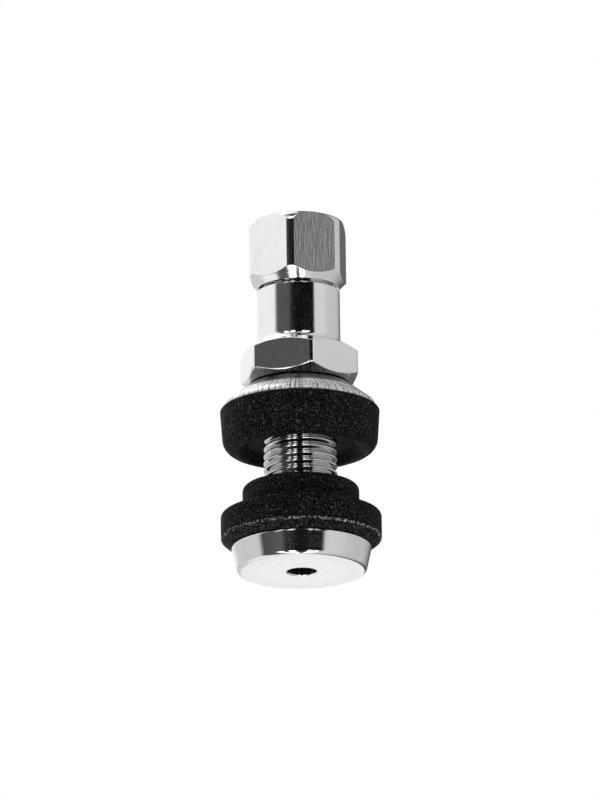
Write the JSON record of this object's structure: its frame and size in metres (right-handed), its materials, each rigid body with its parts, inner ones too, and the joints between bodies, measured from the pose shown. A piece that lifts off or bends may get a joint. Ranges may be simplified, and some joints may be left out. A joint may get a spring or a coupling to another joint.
{
  "type": "tyre valve",
  "caption": "Clamp-in tubeless tyre valve: chromed stem with foot, rubber rim grommets, dished washer, hexagon sleeve nut, hexagon cap and spring-loaded core.",
  "frame": {"origin": "centre of the foot's flat underside", "axes": "+Z along the stem from the foot to the cap, -Y towards the viewer"},
  "size_m": [0.0168, 0.0168, 0.0381],
  "materials": {
    "chrome_plate": "polished chrome plate on turned brass",
    "washer_plate": "chrome plate on pressed steel with radial drawing marks",
    "black_rubber": "matt moulded rubber with a fine grain",
    "core_brass": "plain turned brass",
    "spring_wire": "drawn wire",
    "core_ring": "smooth sealing ring"
  },
  "bodies": {
    "stem_body": {"stem": "chrome_plate", "lower_grommet": "black_rubber", "core_plug": "core_brass", "core_barrel": "core_brass", "core_gasket": "core_ring", "core_spring": "spring_wire"},
    "clamp_stack": {"upper_grommet": "black_rubber", "washer": "washer_plate"},
    "nut": {"sleeve_nut": "chrome_plate"},
    "cap_disc": {"cap_seal": "black_rubber"},
    "cap": {"cap_shell": "chrome_plate"},
    "pin": {"core_pin": "core_brass", "core_cup": "core_brass", "core_seat": "black_rubber"}
  },
  "joints": [
    {"name": "clamp_travel", "type": "slide", "parent": "stem_body", "child": "clamp_stack", "axis": [0, 0, 1], "range_m": [-0.0044, 0]},
    {"name": "nut_turn", "type": "hinge", "parent": "clamp_stack", "child": "nut", "pos_m": [0, 0, 0.0222], "axis": [0, 0, 1], "range_deg": [-1996, 0]},
    {"name": "cap_lift", "type": "slide", "parent": "stem_body", "child": "cap_disc", "axis": [0, 0, 1], "range_m": [0, 0.0056]},
    {"name": "cap_turn", "type": "hinge", "parent": "cap_disc", "child": "cap", "pos_m": [0, 0, 0.0345], "axis": [0, 0, 1], "range_deg": [0, 2540]},
    {"name": "pin_press", "type": "slide", "parent": "stem_body", "child": "pin", "axis": [0, 0, 1], "range_m": [-0.0012, 0], "stiffness_N_per_m": 400, "deforming": ["core_spring"]}
  ],
  "couplings": [
    {"joint": "nut_turn", "follows": "clamp_travel", "rad_per_m": 7915.8},
    {"joint": "cap_turn", "follows": "cap_lift", "rad_per_m": 7915.8}
  ]
}
